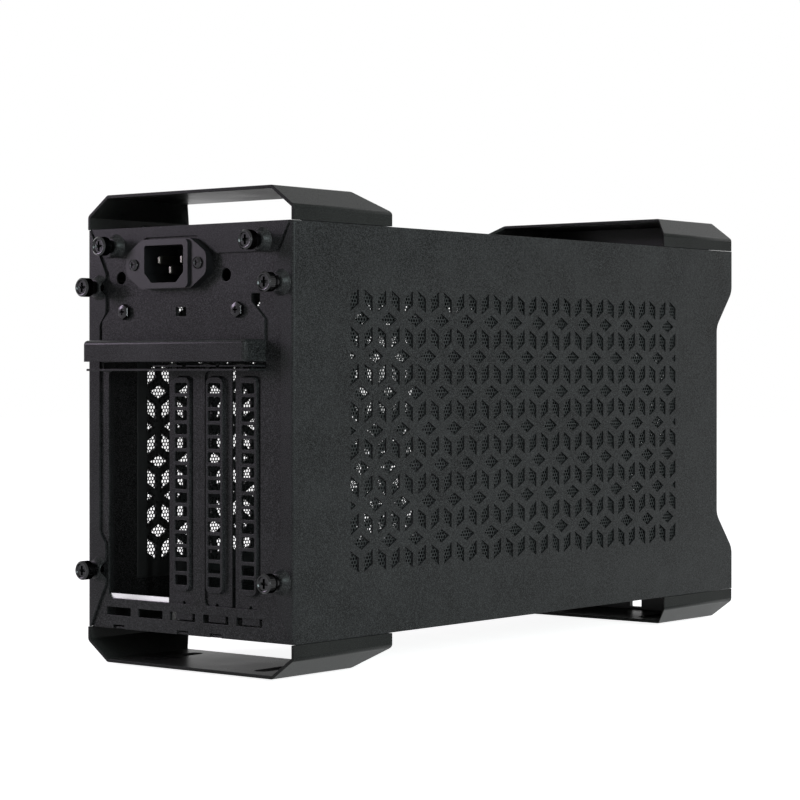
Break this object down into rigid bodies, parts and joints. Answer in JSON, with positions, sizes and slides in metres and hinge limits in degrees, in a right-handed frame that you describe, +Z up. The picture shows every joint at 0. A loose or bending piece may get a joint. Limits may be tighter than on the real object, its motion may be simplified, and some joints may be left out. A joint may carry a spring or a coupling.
{
  "type": "small form factor computer case",
  "caption": "Slim upright black steel computer case with folded carrying brackets, tumbling block vent panels over fine mesh, card slots, mains inlet and thumbscrews at the rear.",
  "frame": {"origin": "middle of the underside of the rubber feet", "axes": "+X right as seen from behind, +Y from the rear to the front, +Z up"},
  "size_m": [0.1274, 0.3704, 0.2156],
  "materials": {
    "case_black": "fine textured black powder coat",
    "bracket_black": "satin black powder coat",
    "mesh_black": "black perforated sheet",
    "cover_black": "semi-matt black paint",
    "thumbscrew_black": "glossy black plating",
    "screw_black": "black plated steel",
    "zinc": "zinc plated",
    "inlet_plastic": "dark grey moulded plastic",
    "pin_metal": "nickel plated",
    "rubber": "matt black",
    "fan_plastic": "satin black moulded plastic",
    "supply_black": "matt black paint",
    "board_green": "solder mask",
    "port_steel": "drawn steel shell",
    "jack_plastic": "moulded plastic",
    "button_black": "smooth plastic"
  },
  "bodies": {
    "chassis": {"bottom_tray": "case_black", "rear_panel": "case_black", "front_wall": "case_black", "front_panel": "case_black", "front_mesh": "mesh_black", "slot_hood": "case_black", "hood_screws": "screw_black", "slot_cover_a": "cover_black", "slot_cover_b": "cover_black", "slot_cover_c": "cover_black", "slot_screws": "zinc", "contact_strip": "zinc", "inlet_socket": "inlet_plastic", "inlet_pins": "pin_metal", "inlet_screws": "screw_black", "floor_posts": "zinc", "supply_stand": "case_black", "supply_case": "supply_black", "supply_lid": "supply_black", "rear_bottom_bracket": "bracket_black", "front_bottom_bracket": "bracket_black", "front_bottom_insert": "inlet_plastic", "bottom_bracket_screws": "zinc", "rubber_feet": "rubber", "left_rail": "case_black", "right_rail": "case_black", "usb_port_a": "port_steel", "usb_port_b": "port_steel", "audio_jack": "jack_plastic", "power_switch": "jack_plastic", "port_board": "board_green", "port_posts": "zinc"},
    "top_cover": {"top_cover": "case_black", "rear_top_bracket": "bracket_black", "front_top_bracket": "bracket_black", "front_top_insert": "inlet_plastic", "top_bracket_screws": "zinc", "rear_fan_frame": "fan_plastic", "front_fan_frame": "fan_plastic"},
    "rear_rotor": {"rear_fan_rotor": "fan_plastic"},
    "front_rotor": {"front_fan_rotor": "fan_plastic"},
    "power_button": {"power_button": "button_black"},
    "left_panel": {"left_side_panel": "case_black", "left_mesh": "mesh_black"},
    "left_lower_screw": {"left_lower_thumbscrew": "thumbscrew_black"},
    "left_upper_screw": {"left_upper_thumbscrew": "thumbscrew_black"},
    "left_top_screw": {"left_top_thumbscrew": "thumbscrew_black"},
    "right_panel": {"right_side_panel": "case_black", "right_mesh": "mesh_black"},
    "right_lower_screw": {"right_lower_thumbscrew": "thumbscrew_black"},
    "right_upper_screw": {"right_upper_thumbscrew": "thumbscrew_black"},
    "right_top_screw": {"right_top_thumbscrew": "thumbscrew_black"}
  },
  "joints": [
    {"name": "left_panel_slide", "type": "slide", "parent": "chassis", "child": "left_panel", "axis": [0, -1, 0], "range_m": [0, 0.012]},
    {"name": "left_lower_screw_turn", "type": "hinge", "parent": "left_panel", "child": "left_lower_screw", "pos_m": [-0.05625, -0.17275, 0.0435], "axis": [0, -1, 0], "continuous": true},
    {"name": "left_upper_screw_turn", "type": "hinge", "parent": "left_panel", "child": "left_upper_screw", "pos_m": [-0.05625, -0.17275, 0.1731], "axis": [0, -1, 0], "continuous": true},
    {"name": "left_top_screw_turn", "type": "hinge", "parent": "top_cover", "child": "left_top_screw", "pos_m": [-0.0452, -0.17275, 0.1916], "axis": [0, -1, 0], "continuous": true},
    {"name": "right_panel_slide", "type": "slide", "parent": "chassis", "child": "right_panel", "axis": [0, -1, 0], "range_m": [0, 0.012]},
    {"name": "right_lower_screw_turn", "type": "hinge", "parent": "right_panel", "child": "right_lower_screw", "pos_m": [0.05625, -0.17275, 0.0435], "axis": [0, -1, 0], "continuous": true},
    {"name": "right_upper_screw_turn", "type": "hinge", "parent": "right_panel", "child": "right_upper_screw", "pos_m": [0.05625, -0.17275, 0.1731], "axis": [0, -1, 0], "continuous": true},
    {"name": "right_top_screw_turn", "type": "hinge", "parent": "top_cover", "child": "right_top_screw", "pos_m": [0.0452, -0.17275, 0.1916], "axis": [0, -1, 0], "continuous": true},
    {"name": "top_cover_slide", "type": "slide", "parent": "chassis", "child": "top_cover", "axis": [0, -1, 0], "range_m": [0, 0.012]},
    {"name": "rear_fan_spin", "type": "hinge", "parent": "top_cover", "child": "rear_rotor", "pos_m": [0, -0.04475, 0.1865], "axis": [0, 0, 1], "continuous": true},
    {"name": "front_fan_spin", "type": "hinge", "parent": "top_cover", "child": "front_rotor", "pos_m": [0, 0.05725, 0.1865], "axis": [0, 0, 1], "continuous": true},
    {"name": "power_button_push", "type": "slide", "parent": "chassis", "child": "power_button", "axis": [0, -1, 0], "range_m": [0, 0.0015], "stiffness_N_per_m": 600}
  ]
}
